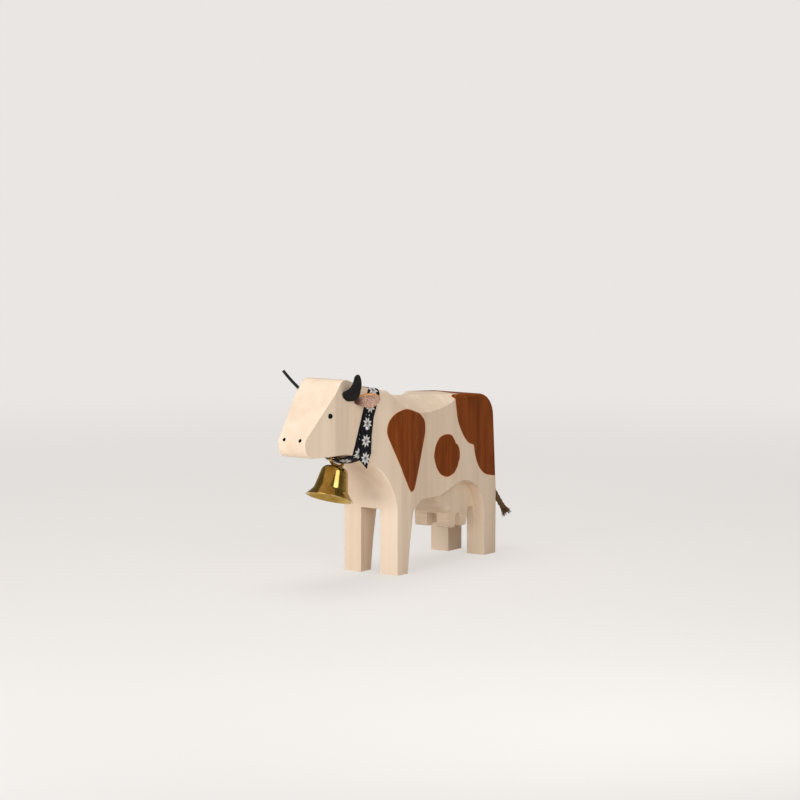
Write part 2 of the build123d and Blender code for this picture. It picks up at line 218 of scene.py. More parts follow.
shoulder_drop = [
    (-6.0, 99.8), (-13.0, 99.2), (-18.6, 97.2), (-23.2, 92.6), (-24.4, 87.1), (-21.8, 78.6),
    (-16.2, 69.8), (-8.9, 58.2), (-4.6, 50.6), (-1.2, 48.7), (3.0, 50.6), (7.2, 61.1), (12.0, 72.1),
    (15.8, 83.2), (14.9, 90.6), (8.4, 96.0), (1.5, 98.6),
]
flank_oval = [
    (36.6, 80.2), (30.8, 78.8), (26.8, 74.6), (24.8, 67.6), (27.5, 60.6), (32.0, 55.8), (38.2, 53.4),
    (45.6, 55.4), (50.0, 60.4), (49.6, 67.6), (46.6, 74.9), (42.4, 79.2),
]
flank_lobe = [
    (44.8, 73.9), (40.0, 70.0), (42.0, 62.0), (47.0, 60.0), (51.2, 62.7), (51.8, 67.4), (50.4, 71.4),
    (48.2, 73.4),
]
rump_upper = [
    (46.5, 112.0), (46.3, 99.3), (47.2, 93.9), (49.5, 86.3), (53.0, 80.6), (57.3, 75.4), (61.6, 72.2),
    (66.9, 70.4), (80.0, 68.0), (110.0, 68.0), (110.0, 112.0),
]
rump_lower = [
    (66.4, 78.0), (66.7, 71.6), (67.9, 66.3), (70.2, 60.3), (74.4, 54.6), (80.8, 50.7), (92.4, 48.4),
    (110.0, 48.4), (110.0, 78.0),
]
rump_top = [
    (43.6, -22.0), (51.5, -12.0), (60.0, -2.0), (68.0, 7.0), (76.0, 22.0), (110.0, 22.0),
    (110.0, -22.0),
]
far_edge = [(49.9, 24.0), (52.0, 13.5), (80.0, 7.0), (110.0, 7.0), (110.0, 24.0)]
far_shoulder = [
    (-30.0, 84.0), (-27.0, 74.0), (-19.0, 66.0), (-8.0, 63.0), (2.0, 66.0), (8.0, 74.0), (8.5, 84.0),
    (3.0, 92.0), (-8.0, 96.0), (-20.0, 94.5),
]
far_rump = [
    (50.0, 112.0), (50.6, 99.0), (52.4, 90.0), (56.0, 80.0), (61.0, 69.0), (68.0, 59.5), (77.0, 52.5),
    (88.0, 49.0), (95.0, 48.4), (110.0, 48.4), (110.0, 112.0),
]
far_spot = [
    (22.0, 66.0), (23.5, 58.0), (29.0, 53.0), (36.0, 52.0), (41.0, 56.0), (42.0, 63.0), (38.0, 69.0),
    (30.0, 71.5),
]

# Limits of the stained faces: distances from the middle plane, the top's least height and the rear's start
left_face = 16.8
right_face = 18.0
back_left, back_right, back_low = 17.2, 18.2, 88.0
rear_start, rear_right = 89.0, 18.5
nostril_side, nostril_height, nostril_radius = 5.65, 88.2, 1.05

# The heart of the tree, in metres, round which the year rings run
heart_x, heart_y = -0.31, 0.17


def lime_wood():
    """Pale wood with fibres and year rings, and a brown stain in the patches with a pale edge round it."""
    material, nodes = tree_of("lime_wood_and_stain")
    place = nodes.place()
    x, y, z = nodes.axes(place)
    wobble = nodes.noise(nodes.stretched(place, (60, 60, 30)), 1.0, 2.0) - 0.5
    xs = x * metre + wobble * 1.1
    zs = z * metre + wobble * 0.8
    ys = y * metre
    top = back_low - zs
    drop = convex(nodes, xs, zs, shoulder_drop, 2.4)
    oval = convex(nodes, xs, zs, flank_oval, 1.8).least(convex(nodes, xs, zs, flank_lobe, 1.6))
    rump = convex(nodes, xs, zs, rump_upper, 2.0).least(convex(nodes, xs, zs, rump_lower, 2.0))
    flank = drop.least(oval).least(rump).most(ys + left_face)
    back = convex(nodes, xs, ys, rump_top, 2.0).most(top).most(ys - back_right).most(-back_left - ys)
    behind = rump.most(rear_start - xs).most(ys - rear_right)
    far = convex(nodes, xs, zs, far_shoulder, 2.2).least(convex(nodes, xs, zs, far_rump, 2.0))
    far = far.least(convex(nodes, xs, zs, far_spot, 2.0)).most(right_face - ys)
    far = far.least(convex(nodes, xs, ys, far_edge, 1.0).most(top))
    patch = flank.least(back).least(behind).least(far)
    stained = patch.step(-0.12, 0.12, 1.0, 0.0)
    edge = patch.step(0.35, 1.0, 1.0, 0.0) * patch.step(-0.3, 0.1)

    fibres = nodes.noise(nodes.stretched(place, (420, 420, 9)), 1.0, 4.0, 0.62)
    fine = nodes.noise(nodes.stretched(place, (1500, 1500, 30)), 1.0, 3.0, 0.6)
    bands = nodes.noise(nodes.stretched(place, (95, 60, 6)), 1.0, 3.0, 0.55, 0.6)
    cloud = nodes.noise(place, 28.0, 2.0)
    brushed = nodes.noise(nodes.stretched(place, (160, 160, 34)), 1.0, 4.0, 0.6)
    radius = ((x - heart_x).power(2.0) + (y - heart_y).power(2.0)).math("SQRT")
    rings = ((radius + bands * 0.011) * 1150.0).sine() * 0.5 + 0.5

    pale = nodes.mix(bands.step(0.35, 0.68), colour(232, 212, 189), colour(223, 200, 175))
    pale = nodes.mix(rings.power(3.0) * 0.06, pale, colour(212, 184, 156))
    pale = nodes.mix(fibres.step(0.42, 0.72) * 0.16, pale, colour(238, 222, 203))
    pale = nodes.mix(fine.step(0.58, 0.75) * 0.16, pale, colour(206, 178, 150))
    pale = nodes.mix(cloud.step(0.40, 0.75) * 0.22, pale, colour(231, 207, 186))

    stain = nodes.mix(bands.step(0.32, 0.70), colour(135, 68, 28), colour(114, 55, 21))
    stain = nodes.mix(rings.power(2.0) * 0.16, stain, colour(92, 43, 16))
    stain = nodes.mix(fibres.step(0.45, 0.72) * 0.45, stain, colour(160, 88, 38))
    stain = nodes.mix(fine.step(0.56, 0.72) * 0.35, stain, colour(80, 36, 14))
    stain = nodes.mix(cloud.step(0.45, 0.75) * 0.35, stain, colour(146, 77, 31))
    stain = nodes.mix(brushed.step(0.52, 0.70) * 0.45, stain, colour(156, 84, 35))
    stain = nodes.mix(brushed.step(0.46, 0.34) * 0.35, stain, colour(86, 40, 15))

    # Horizontal saw streaks on the slanted front of the udder
    sawn = (y.absolute() * metre).step(12.9, 12.4) * xs.step(31.0, 32.0) * xs.step(52.6, 51.6)
    sawn = sawn * zs.step(43.5, 43.0)
    streaks = nodes.noise(nodes.stretched(place, (30, 60, 1100)), 1.0, 4.0, 0.6)
    pale = nodes.mix(sawn * streaks.step(0.40, 0.66) * 0.30, pale, colour(188, 154, 122))

    wood = nodes.mix(edge * 0.9, pale, colour(240, 196, 164))
    wood = nodes.mix(stained, wood, stain)

    # Nostrils painted black in their drilled dots
    off_y = y.absolute() * metre - nostril_side
    off_z = z * metre - nostril_height
    off = (off_y * off_y + off_z * off_z).math("SQRT")
    dot = off.step(nostril_radius - 0.05, nostril_radius + 0.05, 1.0, 0.0) * xs.step(-88.0, -90.0)
    wood = nodes.mix(dot, wood, colour(14, 11, 10))

    height = fibres * 0.5 + fine * 0.5 + rings * 0.35
    normal = nodes.bump(height, 0.12, 0.00012)
    rough = fibres.ramp(0.3, 0.7, 0.50, 0.62) - stained * 0.04 - dot * 0.25
    nodes.finish(base_color=wood, roughness=rough, normal=normal, specular_ior_level=0.03)
    return material


def black_leather():
    """Thick black leather with fine pores and creases."""
    material, nodes = tree_of("black_leather")
    place = nodes.place()
    pores = nodes.pores(place, 1500.0)
    creases = nodes.noise(nodes.stretched(place, (900, 900, 900)), 1.0, 4.0, 0.6)
    cloud = nodes.noise(place, 160.0, 3.0)
    base = nodes.mix(cloud.step(0.35, 0.75), colour(9, 9, 9), colour(17, 16, 15))
    base = nodes.mix(creases.step(0.60, 0.80) * 0.35, base, colour(34, 32, 30))
    normal = nodes.bump(pores * 0.6 + creases * 0.5, 0.35, 0.00018)
    rough = creases.ramp(0.3, 0.7, 0.54, 0.68)
    nodes.finish(base_color=base, roughness=rough, normal=normal, specular_ior_level=0.18)
    return material


ear_root = (-0.0520, 0.0145, 0.1078)


def ear_suede():
    """The rough inside of the tan leather, with painted shade darkening it towards its pinched root."""
    material, nodes = tree_of("ear_suede")
    place = nodes.place()
    x, y, z = nodes.axes(place)
    along, across, above = [(axis - root) * metre for axis, root in zip((x, y.absolute(), z), ear_root)]
    reach = (along.power(2.0) + across.power(2.0) + above.power(2.0)).math("SQRT")
    speckle = nodes.noise(place, 1900.0, 4.0, 0.7)
    coarse = nodes.noise(place, 900.0, 3.0, 0.6)
    suede = nodes.mix(speckle.step(0.38, 0.62), colour(112, 80, 66), colour(206, 174, 156))
    suede = nodes.mix(coarse.step(0.45, 0.70) * 0.35, suede, colour(168, 130, 112))
    # Painted shade: dark brown towards the pinched root, where shade falls in the fold
    suede = nodes.mix(reach.step(6.5, 1.5, 0.0, 0.92), suede, colour(58, 30, 18))
    normal = nodes.bump(speckle, 0.45, 0.0002)
    rough = speckle.ramp(0.3, 0.7, 0.86, 0.96)
    nodes.finish(base_color=suede, roughness=rough, normal=normal, specular_ior_level=0.1)
    return material


def tan_leather(name, low, high):
    """The grain side or the cut edge of the tan leather."""
    material, nodes = tree_of(name)
    place = nodes.place()
    coarse = nodes.noise(place, 900.0, 3.0, 0.6)
    pores = nodes.pores(place, 1700.0)
    base = nodes.mix(coarse.step(0.35, 0.70), low, high)
    normal = nodes.bump(pores, 0.35, 0.0002)
    rough = coarse.ramp(0.3, 0.7, 0.46, 0.58)
    nodes.finish(base_color=base, roughness=rough, normal=normal, specular_ior_level=0.3)
    return material


def pin_black():
    """The glossy black heads of the pins."""
    material, nodes = tree_of("black_enamel")
    cloud = nodes.noise(nodes.place(), 700.0)
    base = nodes.mix(cloud.step(0.3, 0.8), colour(3, 3, 4), colour(7, 7, 8))
    normal = nodes.bump(cloud, 0.06, 0.0001)
    rough = cloud.ramp(0.3, 0.7, 0.12, 0.2)
    nodes.finish(base_color=base, roughness=rough, normal=normal, specular_ior_level=0.06)
    return material


def metal(name, main, dark, bright, smoothest, roughest):
    """A polished or satin metal with faint cloudiness and fine scratches."""
    material, nodes = tree_of(name)
    place = nodes.place()
    cloud = nodes.noise(place, 130.0, 4.0, 0.6)
    lines = nodes.noise(nodes.stretched(place, (300, 300, 4200)), 1.0, 3.0, 0.6)
    base = nodes.mix(cloud.step(0.30, 0.62), colour(*dark), colour(*main))
    base = nodes.mix(cloud.step(0.56, 0.80), base, colour(*bright))
    rough = cloud.ramp(0.3, 0.7, smoothest, roughest)
    normal = nodes.bump(lines, 0.05, 0.00006)
    nodes.finish(base_color=base, metallic=1.0, roughness=rough, normal=normal)
    return material


def woven_ribbon(pitch=10.3, rib=0.42, pick=0.30):
    """Black woven ribbon with a row of white flowers a pitch apart, on a UV map in millimetres."""
    material, nodes = tree_of("woven_ribbon")
    flat = nodes.add("ShaderNodeUVMap", output="UV", uv_map="weave")
    along, across = nodes.axes(flat)[:2]
    cell = (along / pitch).math("FRACT") * pitch - pitch / 2
    slant = nodes.noise(nodes.vector((along / pitch).math("FLOOR"), 0.0, 0.0), 5.0) - 0.5
    radius = (cell * cell + across * across).math("SQRT")
    angle = nodes.add("ShaderNodeMath", [across, cell], operation="ARCTAN2") + slant * 0.5

    def petals(count, turn, inner, outer, width):
        """Pointed petals round the middle of a flower."""
        spread = (angle + turn) * (count / (2 * math.pi))
        offset = (spread.math("FRACT") - 0.5).absolute() * (2 * math.pi / count) * radius
        middle = (inner + outer) / 2
        room = radius.ramp(inner, middle, 0.15, 1.0).least(radius.ramp(middle, outer, 1.0, 0.0))
        ring = radius.step(outer, outer - 0.4) * radius.step(inner - 0.3, inner)
        return (room * width - offset).step(-0.12, 0.12) * ring

    long_petals = petals(8, 0.2, 0.9, 4.15, 0.62)
    short_petals = petals(8, 0.2 + math.pi / 8, 0.8, 3.0, 0.30)
    heart = radius.step(0.95, 0.75)
    white = long_petals.most(short_petals * 0.75)

    ribs = (along * (2 * math.pi / rib)).sine() * 0.5 + 0.5
    picks = (across * (2 * math.pi / pick)).sine() * 0.5 + 0.5
    thread = ribs * 0.6 + picks * 0.4
    selvedge = across.absolute().step(4.45, 4.65)
    fuzz = nodes.noise(nodes.vector(along, across, 0.0), 3.4, 4.0, 0.7)
    ground = nodes.mix(thread, colour(5, 5, 8), colour(17, 17, 22))
    ground = nodes.mix(fuzz.step(0.45, 0.75) * 0.5, ground, colour(14, 14, 20))
    silk = nodes.mix(thread, colour(206, 204, 200), colour(252, 250, 245))
    silk = nodes.mix(fuzz.step(0.48, 0.70) * 0.40, silk, colour(168, 167, 166))
    base = nodes.mix(white, ground, silk)
    base = nodes.mix(heart * 0.7, base, colour(120, 118, 112))
    base = nodes.mix(selvedge, base, colour(7, 7, 10))
    height = thread + white * 0.8 + selvedge * 0.4
    normal = nodes.bump(height, 0.5, 0.00016)
    rough = 0.78 - white * 0.22
    nodes.finish(base_color=base, roughness=rough, normal=normal, specular_ior_level=0.12, sheen_weight=0.03)
    return material


def twisted_cord():
    """Brown hemp, with fibres that follow each strand on a UV map."""
    material, nodes = tree_of("hemp_cord")
    flat = nodes.add("ShaderNodeUVMap", output="UV", uv_map="twist")
    along, around = nodes.axes(flat)[:2]
    fibres = nodes.noise(nodes.vector(along * 1.2, around * 24.0, 0.0), 1.0, 4.0, 0.65)
    cloud = nodes.noise(nodes.place(), 420.0, 3.0)
    base = nodes.mix(fibres.step(0.30, 0.70), colour(66, 46, 28), colour(136, 108, 74))
    base = nodes.mix(cloud.step(0.45, 0.75) * 0.6, base, colour(92, 60, 38))
    base = nodes.mix(fibres.step(0.66, 0.80) * 0.6, base, colour(170, 138, 98))
    normal = nodes.bump(fibres, 0.6, 0.0002)
    rough = fibres.ramp(0.3, 0.7, 0.80, 0.92)
    nodes.finish(base_color=base, roughness=rough, normal=normal, specular_ior_level=0.2)
    return material


# Tools for the pieces

def dress(name, material):
    """A CAD node that keeps its shape and gets a better material."""
    node = frame["nodes"][name]
    node.data.materials.clear()
    node.data.materials.append(material)


def added(name, data):
    """A new object in the scene."""
    obj = bpy.data.objects.new(name, data)
    bpy.context.scene.collection.objects.link(obj)
    return obj


def piece(name, shape, materials, slot, body, *replaced):
    """A new piece made from a bmesh, with its materials and body; the slot is not used."""
    bmesh.ops.scale(shape, vec=(mm, mm, mm), verts=shape.verts)
    mesh = bpy.data.meshes.new(name)
    shape.to_mesh(mesh)
    shape.free()
    obj = added(name, mesh)
    for material in materials:
        mesh.materials.append(material)
    mesh.shade_smooth()
    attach(obj, body)
    if replaced:
        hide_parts(*replaced)
    return obj


def thicken(obj, thickness, offset=0.0, rim=0, back=0):
    """A wall of even thickness, whose rim and back may have their own materials."""
    wall = obj.modifiers.new("wall", "SOLIDIFY")
    wall.thickness = thickness * mm
    wall.offset = offset
    wall.use_even_offset = True
    wall.material_offset_rim = rim
    wall.material_offset = back


def soften(obj, width, segments=3):
    """Rounded edges."""
    edge = obj.modifiers.new("edge", "BEVEL")
    edge.width = width * mm
    edge.segments = segments
    edge.limit_method = "ANGLE"
    edge.angle_limit = math.radians(50)
    edge.harden_normals = True


def right_hand(shape):
    """The shape turned into its mirror image on the cow's right."""
    bmesh.ops.scale(shape, vec=(1, -1, 1), verts=shape.verts)
    bmesh.ops.reverse_faces(shape, faces=shape.faces)


def placed(shape, origin, across, along):
    """The shape moved from its flat drawing to a plane of the object, given in millimetres."""
    facing = across.cross(along)
    turned = Matrix((across, along, facing)).transposed().to_4x4()
    bmesh.ops.transform(shape, matrix=Matrix.Translation(origin) @ turned, verts=shape.verts)


def smooth_loop(points, steps):
    """Points on a smooth closed curve through the given ones."""
    loop = []
    count = len(points)
    for index, start in enumerate(points):
        before, end, after = points[index - 1], points[(index + 1) % count], points[(index + 2) % count]
        leave, arrive = (end - before) / 6, (after - start) / 6
        loop += interpolate_bezier(start, start + leave, end - arrive, end, steps + 1)[:-1]
    return loop


def rounded(points, radii, steps=8):
    """An open outline with its inner corners rounded."""
    outline = [points[0]]
    for before, here, after, radius in zip(points, points[1:], points[2:], radii):
        arrive, leave = (before - here).normalized(), (after - here).normalized()
        turn = math.pi - arrive.angle(leave)
        reach = radius * math.tan(turn / 2)
        handle = reach - radius * 4 / 3 * math.tan(turn / 4)
        ends = here + arrive * reach, here + arrive * handle, here + leave * handle, here + leave * reach
        outline += interpolate_bezier(*ends, steps + 1)
    return outline + [points[-1]]


def cut(shape, point, side, **settings):
    """The shape cut by a plane."""
    everything = shape.verts[:] + shape.edges[:] + shape.faces[:]
    bmesh.ops.bisect_plane(shape, geom=everything, plane_co=point, plane_no=side, **settings)


def grid(shape, columns, rows):
    """A flat grid one unit long and one wide, which is then laid out."""
    return bmesh.ops.create_grid(shape, x_segments=columns, y_segments=rows, size=0.5)["verts"]


def carried(points):
    """The points of a line, each with its direction and a steady side and top."""
    pairs = zip(points[:1] + points[:-1], points[1:] + points[-1:])
    runs = [(after - before).normalized() for before, after in pairs]
    side = runs[0].orthogonal().normalized()
    framed = []
    for point, run in zip(points, runs):
        side = (side - run * side.dot(run)).normalized()
        framed.append((point, run, side, run.cross(side)))
    return framed


def travelled(points):
    """The length walked along a line at each of its points."""
    steps = [(after - before).length for before, after in zip(points, points[1:])]
    return list(accumulate(steps, initial=0.0))


def tube(shape, points, radius_at, sides, layer):
    """A closed tube along a line, with its map in millimetres along and turns around."""
    framed = carried(points)
    last = len(points) - 1
    verts = grid(shape, last, sides)
    lengths = travelled(points)
    for face in {face for vert in verts for face in vert.link_faces}:
        for loop in face.loops:
            place = loop.vert.co
            loop[layer].uv = (lengths[round((place.x + 0.5) * last)], place.y + 0.5)
    for vert in verts:
        step = round((vert.co.x + 0.5) * last)
        turn = (vert.co.y + 0.5) * 2 * math.pi
        point, _, side, top = framed[step]
        vert.co = point + (side * math.cos(turn) + top * math.sin(turn)) * radius_at(step / last)
    bmesh.ops.remove_doubles(shape, verts=verts, dist=0.0005)
    rims = [edge for edge in shape.edges if edge.is_boundary]
    bmesh.ops.holes_fill(shape, edges=rims, sides=0)


# Horns, cut from thick flat leather and bent upwards

horn_outline = [
    (-1.75, 2.3), (-0.75, 0.65), (0.9, -0.95), (2.6, -2.25), (4.6, -2.15), (7.05, -0.6), (7.92, 3.1),
    (6.95, 8.2), (5.5, 13.2), (3.6, 17.3), (1.7, 19.35), (0.1, 19.1), (-0.35, 17.0), (0.25, 13.9),
    (0.62, 9.9), (0.1, 6.5), (-1.3, 4.3),
]
horn_origin = Vector((-61.997, -13.678, 111.2))
horn_across = Vector((0.8206, -0.5403, -0.1860))
horn_lean = Vector((-0.2706, -0.6542, 0.7063))
horn_bend_radius = 90.0
horn_length = 19.8
horn_thickness = 1.7


def horn_shape():
    """One horn as a sheet, sliced so that it can bend."""
    shape = bmesh.new()
    outline = smooth_loop([Vector((u, v, 0)) for u, v in horn_outline], 6)
    shape.faces.new([shape.verts.new(point) for point in outline])
    for up in range(-1, 19):
        cut(shape, (0, up, 0), (0, 1, 0))
    half_turn = math.asin(horn_length / 2 / horn_bend_radius)
    for vert in shape.verts:
        vert.co.z = math.sqrt(horn_bend_radius ** 2 - vert.co.y ** 2) - horn_bend_radius
    bmesh.ops.rotate(shape, cent=(0, 0, 0), matrix=Matrix.Rotation(half_turn, 3, "X"), verts=shape.verts)
    placed(shape, horn_origin, horn_across, horn_lean)
    bmesh.ops.recalc_face_normals(shape, faces=shape.faces)
    return shape


# Ears, leaves of tan leather pinched at their roots

ear_origin = Vector((-52.003, -14.07, 108.17))
ear_lean = Vector((0.347, -0.934, 0.085)).normalized()
ear_facing = Vector((-0.8669, -0.3539, -0.3504)).normalized()
ear_length = 15.5
ear_half_width = 4.0
ear_thickness = 1.15
ear_forward = 0.65
ear_cup_radius = 4.6
ear_cup_growth = 2.6
ear_curl = 1.1
ear_spread = [(0.0, 0.30), (0.24, 0.74), (0.56, 1.0), (0.82, 0.84), (0.95, 0.48), (1.0, 0.10)]


def ear_shape():
    """One ear as a cupped sheet that faces forwards."""
    shape = bmesh.new()
    edge = [Vector((ear_half_width * wide, ear_length * share, 0)) for share, wide in ear_spread]
    outline = smooth_loop(edge + [Vector((-point.x, point.y, 0)) for point in reversed(edge)], 6)
    widths = sorted((point.y / ear_length, point.x) for point in outline if point.x > 0)
    for vert in grid(shape, 12, 22):
        share = 1 - (1 - (vert.co.y + 0.5)) ** 1.25
        index = min(max(bisect_right(widths, (share, 0.0)), 1), len(widths) - 1)
        (low, near), (high, far) = widths[index - 1], widths[index]
        part = (share - low) / max(high - low, 1e-6)
        half = near + (far - near) * min(max(part, 0.0), 1.0)
        across = vert.co.x * 2 * half
        cup = ear_cup_radius + ear_cup_growth * share
        turn = math.asin(max(-0.98, min(0.98, across / cup)))
        depth = cup - cup * math.cos(turn)
        vert.co = (across, ear_length * share, ear_forward + depth - ear_curl * share ** 3)
    placed(shape, ear_origin, ear_lean.cross(ear_facing), ear_lean)
    return shape


# Bell, spun from brass sheet with a rolled lip, on the tilted line of the collar

collar_tilt = math.radians(20)
collar_down = Vector((-math.sin(collar_tilt), 0, -math.cos(collar_tilt)))
collar_across = Vector((math.cos(collar_tilt), 0, -math.sin(collar_tilt)))
sideways = Vector((0, 1, 0))
bell_pivot = Vector((-49.71, 0, 73.21))
crown_drop = 5.0
bell_outside = [(0, 0), (7.4, 0.25), (10.3, 14.6), (13.95, 19.0), (14.35, 19.35)]
bell_outside_rounds = [4.4, 5.4, 1.4]
bell_inside = [(13.75, 19.5), (13.2, 19.0), (9.5, 14.9), (6.5, 1.1), (0, 0.9)]
bell_inside_rounds = [0.3, 6.2, 3.6]


def bell_shape():
    """The bell, turned from its outline of radii and depths below the crown."""
    shape = bmesh.new()
    line = []
    for outline, rounds in ((bell_outside, bell_outside_rounds), (bell_inside, bell_inside_rounds)):
        line += rounded([Vector((radius, 0, -drop)) for radius, drop in outline], rounds)
    verts = [shape.verts.new(point) for point in line]
    profile = verts + [shape.edges.new(pair) for pair in zip(verts, verts[1:])]
    turn = {"cent": (0, 0, 0), "axis": (0, 0, 1), "angle": 2 * math.pi}
    bmesh.ops.spin(shape, geom=profile, steps=96, use_merge=True, **turn)
    bmesh.ops.remove_doubles(shape, verts=shape.verts, dist=0.001)
    bmesh.ops.recalc_face_normals(shape, faces=shape.faces)
    placed(shape, bell_pivot + collar_down * crown_drop, collar_across, sideways)
    return shape


# Ribbon, one strip laid round the neck and through the bell's loop

collar_middle = Vector((-39.007, 0, 102.608))
ribbon_width = 10.0
ribbon_thickness = 0.45
sanded_round = 3.5
throat_sag = 2.75
throat_turn = math.radians(60)
ribbon_lift = 0.32
weave_start = 0.95
neck_plan = [(-71.06, 14.0), (-57.0, 13.5), (-35.91, 15.9), (-11.97, 20.0)]

# Heights from which the hanging end turns plumb, climbs over the inner layer and flares, and over what run
plumb_start, plumb_run = 98.0, 13.0
layer_start, layer_run, layer_lift = 98.5, 5.0, 0.72
flare_start, flare_run, flare_lift = 75.0, 8.0, 0.9
follow_run = 9
row_step = 0.6
tip_height = 67.2
tip_lean = math.radians(3.2)

# The two cuts of its tip, each a point of the flat strip and the side that falls away
tip_cuts = [((5.5, -5.0, 0), (-5.9, -5.5, 0)), ((9.0, 5.0, 0), (-4.1, 9.0, 0))]

body_mesh = frame["nodes"]["body"].data
body_points = [vert.co / mm for vert in body_mesh.vertices]
body_surface = BVHTree.FromPolygons(body_points, [face.vertices[:] for face in body_mesh.polygons])
slices = {}


def half_width(x):
    """Half the width of the neck at a place along the cow."""
    for (start, narrow), (end, wide) in zip(neck_plan, neck_plan[1:]):
        if x <= end:
            return narrow + (wide - narrow) * (x - start) / (end - start)
    return neck_plan[-1][1]


def neck(u):
    """A slice of the neck at a place across the ribbon: its middle and the ends of its straight sides."""
    if u not in slices:
        start = collar_middle + collar_across * u
        top = body_surface.ray_cast(start - collar_down * 40, collar_down)[0]
        bottom = body_surface.ray_cast(start + collar_down * 70, -collar_down)[0]
        high = -(top - start).dot(collar_down) - sanded_round
        low = -(bottom - start).dot(collar_down) + sanded_round
        slices[u] = (start, high, low)
    return slices[u]


def flank_row(side, share):
    """A row on a straight side of the neck."""
    def place(u):
        start, high, low = neck(u)
        middle = start - collar_down * (low + (high - low) * share)
        return middle + sideways * side * half_width(middle.x), sideways * side
    return place


def corner_row(side, upper, turn):
    """A row on one of the four rounded edges of the neck."""
    def place(u):
        start, high, low = neck(u)
        centre = start - collar_down * (high if upper else low)
        centre += sideways * side * (half_width(centre.x) - sanded_round)
        out = sideways * side * math.cos(turn) - collar_down * (1 if upper else -1) * math.sin(turn)
        return centre + out * sanded_round, out
    return place


def top_row(share):
    """A row on the flat top of the neck."""
    def place(u):
        start, high, _ = neck(u)
        centre = start - collar_down * high
        aside = sideways * share * (half_width(centre.x) - sanded_round)
        return centre + aside - collar_down * sanded_round, -collar_down
    return place


def throat_row(side, share):
    """A row on the sag under the throat, from an edge of the neck to the middle."""
    def place(u):
        start, _, low = neck(u)
        edge, out = corner_row(side, False, throat_turn)(u)
        leave = -sideways * side * math.sin(throat_turn) + collar_down * math.cos(throat_turn)
        middle = start - collar_down * (low - sanded_round - throat_sag)
        reach = (middle - edge).length / 3
        curve = interpolate_bezier(edge, edge + leave * reach, middle + sideways * side * reach, middle, 33)
        return curve[round(share * 32)], out.lerp(collar_down, share).normalized()
    return place


def eased(share):
    """A share from 0 to 1 that starts and ends softly."""
    share = min(max(share, 0.0), 1.0)
    return share * share * (3 - 2 * share)


def hanging_rows():
    """The rows down the left side, which turn nearly plumb over the inner layer and end in the cut tip."""
    start, high, _ = neck(0.0)
    centre = start - collar_down * high
    rows = []
    while centre.z > tip_height:
        lean = collar_tilt + (tip_lean - collar_tilt) * eased((plumb_start - centre.z) / plumb_run)
        flare = max(0.0, flare_start - centre.z) / flare_run
        layer = eased((layer_start - centre.z) / layer_run)
        lift = ribbon_lift + layer_lift * layer + flare_lift * flare * flare
        follow = max(0.0, 1 - len(rows) * row_step / follow_run)
        rows.append((hanging_row(centre.copy(), lean, follow), lift))
        centre += Vector((-math.sin(lean), 0, -math.cos(lean))) * row_step
    return rows[::-1]


def hanging_row(centre, lean, follow):
    """One row of the hanging end, which follows the neck's own slope near the top."""
    def place(u):
        shift = neck(u)[1] - neck(0.0)[1]
        point = centre + Vector((math.cos(lean), 0, -math.sin(lean))) * u - collar_down * shift * follow
        return Vector((point.x, -half_width(point.x), point.z)), -sideways
    return place


def ribbon_rows():
    """Every row of the ribbon from its cut tip to its hidden end, each with its height over the wood."""
    quarter = math.pi / 2
    rows = [corner_row(-1, True, quarter * step / 9) for step in range(1, 10)]
    rows += [top_row(-1 + step / 12) for step in range(1, 25)]
    rows += [corner_row(1, True, quarter * (1 - step / 9)) for step in range(1, 10)]
    rows += [flank_row(1, 1 - step / 30) for step in range(1, 31)]
    rows += [corner_row(1, False, throat_turn * step / 7) for step in range(1, 8)]
    rows += [throat_row(1, step / 16) for step in range(1, 17)]
    rows += [throat_row(-1, 1 - step / 16) for step in range(1, 17)]
    rows += [corner_row(-1, False, throat_turn * (1 - step / 7)) for step in range(1, 8)]
    rows += [flank_row(-1, 0.66 * step / 24) for step in range(1, 25)]
    return hanging_rows() + [(row, ribbon_lift) for row in rows]


def ribbon_shape():
    """The ribbon as a sheet, with its map in millimetres, and its length."""
    rows = ribbon_rows()
    lengths = travelled([place(0.0)[0] + place(0.0)[1] * lift for place, lift in rows])
    shape = bmesh.new()
    grid(shape, len(rows) - 1, 10)
    for vert in shape.verts:
        vert.co = (lengths[round((vert.co.x + 0.5) * (len(rows) - 1))], vert.co.y * ribbon_width, 0)
    for point, side in tip_cuts:
        cut(shape, point, side, clear_outer=True, dist=0.001)
    layer = shape.loops.layers.uv.new("weave")
    for face in shape.faces:
        for loop in face.loops:
            loop[layer].uv = (loop.vert.co.x - weave_start, loop.vert.co.y)
    for vert in shape.verts:
        index = min(bisect_right(lengths, vert.co.x), len(rows) - 1)
        share = (vert.co.x - lengths[index - 1]) / (lengths[index] - lengths[index - 1])
        u = round(vert.co.y, 3)
        ripple = 0.05 * math.sin(vert.co.x * 0.9 + 0.5) * abs(u) / 5
        ends = [(place(u), lift + ripple) for place, lift in rows[index - 1:index + 1]]
        near, far = [point + out * lift for (point, out), lift in ends]
        vert.co = near.lerp(far, share)
    bmesh.ops.recalc_face_normals(shape, faces=shape.faces)
    return shape, lengths[-1]


# Tail, three strands of hemp on one hanging line, with a frayed end

tail_route = [
    (86.6, 0.0, 87.2), (96.3, 0.0, 83.3), (101.5, -0.4, 73.8), (103.6, -1.6, 63.0),
    (104.8, -3.4, 52.5), (106.2, -6.2, 42.5), (108.8, -9.8, 33.5), (112.6, -13.0, 25.4),
]
strand_radius = 1.0
strand_reach = 0.88
twist_pitch = 8.5
tuft_fibres = 96


